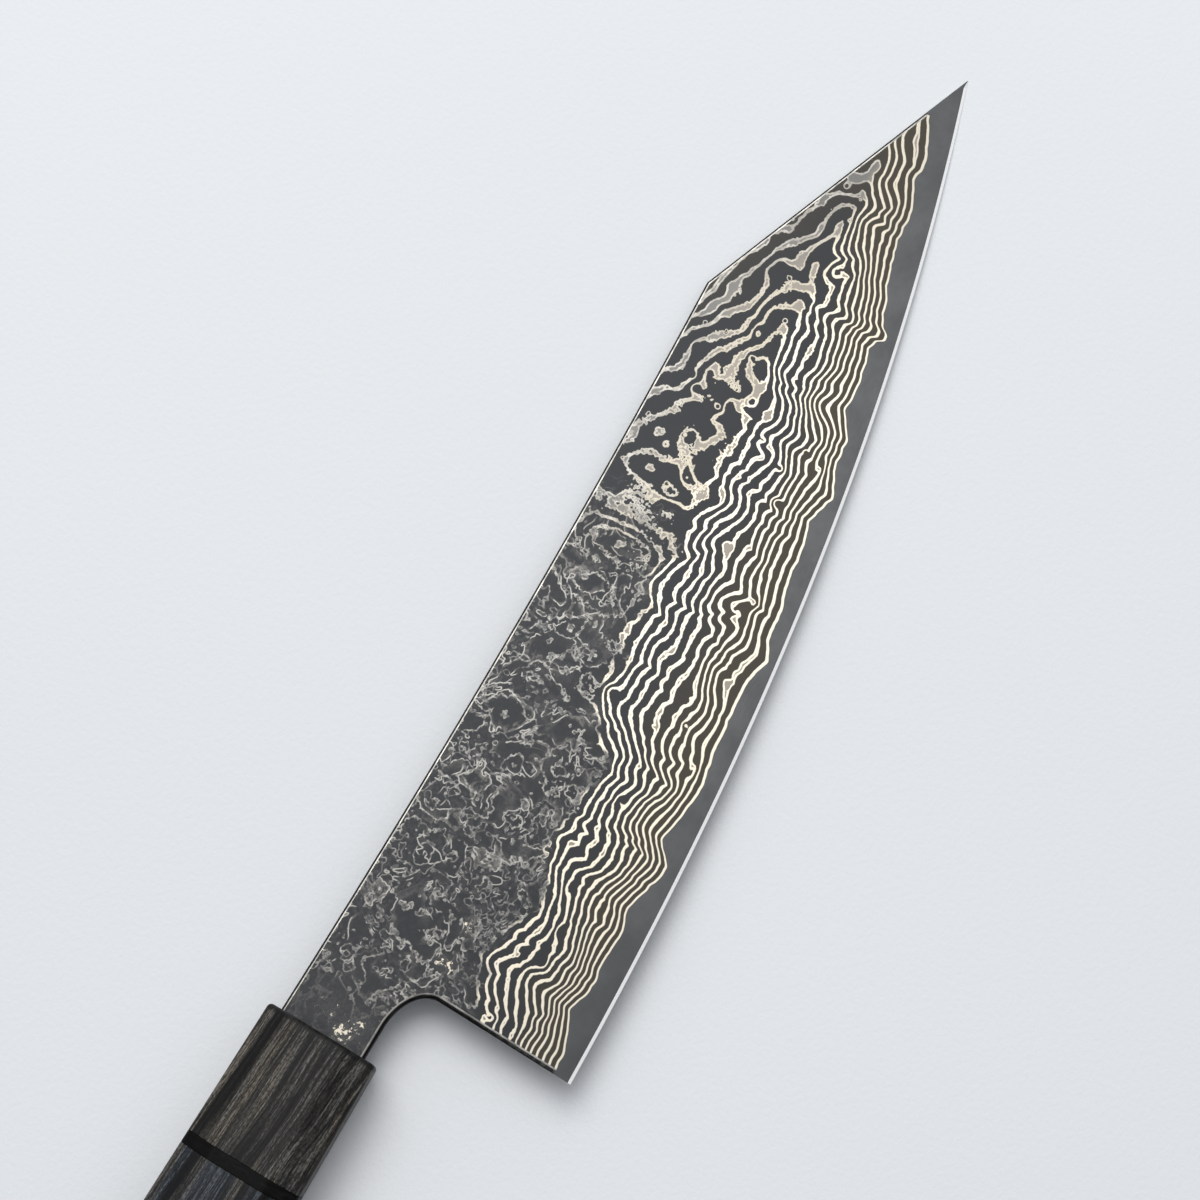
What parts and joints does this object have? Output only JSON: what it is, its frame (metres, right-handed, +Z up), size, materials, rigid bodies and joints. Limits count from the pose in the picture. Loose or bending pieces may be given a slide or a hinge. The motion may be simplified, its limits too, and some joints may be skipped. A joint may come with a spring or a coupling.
{
  "type": "gyuto knife",
  "caption": "Kitchen knife with a straight clipped tip, a long layered-steel blade, a rounded choil, and an octagonal laminated wood handle with a black spacer ring.",
  "frame": {"origin": "centre of the bounding box's bottom: the point of the table under the middle of the knife as it lies on its left side", "axes": "+X from the handle to the tip, level with the table; +Y from the cutting edge to the spine; +Z up from the table, across the blade's thickness. The knife's own axis slopes down to the tip by 2.24 degrees, because it lies on the front of its handle and its tip"},
  "size_m": [0.3672, 0.055, 0.0248],
  "materials": {
    "core_steel": "satin",
    "layered_cladding": "satin",
    "ferrule_wood": "satin",
    "grip_wood": "satin",
    "black_horn": "satin",
    "dowel_wood": "matte",
    "adhesive": "gloss",
    "filler": "satin"
  },
  "bodies": {
    "root": {"core_steel": "core_steel", "cladding_right": "layered_cladding", "cladding_left": "layered_cladding", "ferrule": "ferrule_wood", "spacer_ring": "black_horn", "handle_body": "grip_wood", "dowel": "dowel_wood", "tang_adhesive": "adhesive", "mouth_seal": "filler"}
  },
  "joints": []
}
